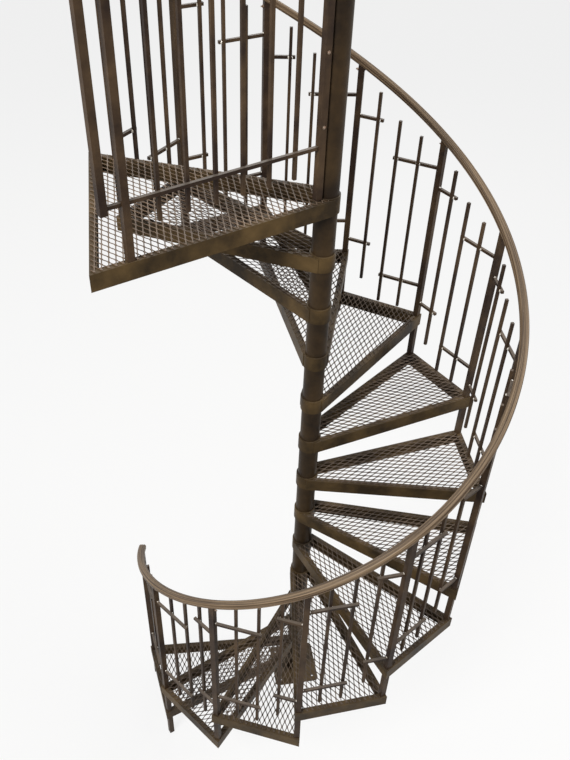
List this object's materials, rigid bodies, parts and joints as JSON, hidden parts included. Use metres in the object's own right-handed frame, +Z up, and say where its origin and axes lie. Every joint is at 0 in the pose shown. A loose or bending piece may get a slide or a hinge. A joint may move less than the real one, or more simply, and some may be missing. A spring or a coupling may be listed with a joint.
{
  "type": "spiral staircase",
  "caption": "Outdoor steel spiral stair: centre pole on a base plate, wedge treads of channel and expanded metal, a wall platform, square posts, pickets and a grooved helical handrail.",
  "frame": {"origin": "on the ground on the centre pole's axis, at the middle of the base plate's underside", "axes": "+Z up along the pole; -X towards the house wall that the platform is bolted to; seen from above the treads turn clockwise going down"},
  "size_m": [1.69, 1.6899, 4.1449],
  "materials": {
    "frame_paint": "weathered dark bronze paint, satin, worn bright along the edges",
    "mesh_paint": "weathered dark bronze paint on expanded steel mesh",
    "pole_paint": "satin dark bronze paint with faint run marks",
    "railing_paint": "satin dark bronze paint with bare weld spots",
    "handrail_paint": "satin dark bronze paint, rubbed and chalked along the top"
  },
  "bodies": {
    "root": {"base_plate": "frame_paint", "centre_pole": "pole_paint", "pole_cap": "pole_paint", "tread_01": "frame_paint", "tread_02": "frame_paint", "tread_03": "frame_paint", "tread_04": "frame_paint", "tread_05": "frame_paint", "tread_06": "frame_paint", "tread_07": "frame_paint", "tread_08": "frame_paint", "tread_09": "frame_paint", "tread_10": "frame_paint", "tread_11": "frame_paint", "tread_12": "frame_paint", "tread_meshes": "mesh_paint", "platform_frame": "frame_paint", "platform_mesh": "mesh_paint", "post_00": "railing_paint", "post_01": "railing_paint", "post_02": "railing_paint", "post_03": "railing_paint", "post_04": "railing_paint", "post_05": "railing_paint", "post_06": "railing_paint", "post_07": "railing_paint", "post_08": "railing_paint", "post_09": "railing_paint", "post_10": "railing_paint", "post_11": "railing_paint", "post_12": "railing_paint", "pickets_01_to_03": "railing_paint", "pickets_04_to_06": "railing_paint", "pickets_07_to_09": "railing_paint", "pickets_10_to_12": "railing_paint", "handrail_upper": "handrail_paint", "handrail_middle": "handrail_paint", "handrail_lower": "handrail_paint", "guard_post": "railing_paint", "guard_pole_stile": "railing_paint", "guard_wall_stile": "railing_paint", "guard_panel": "railing_paint", "guard_rail": "handrail_paint"}
  },
  "joints": []
}
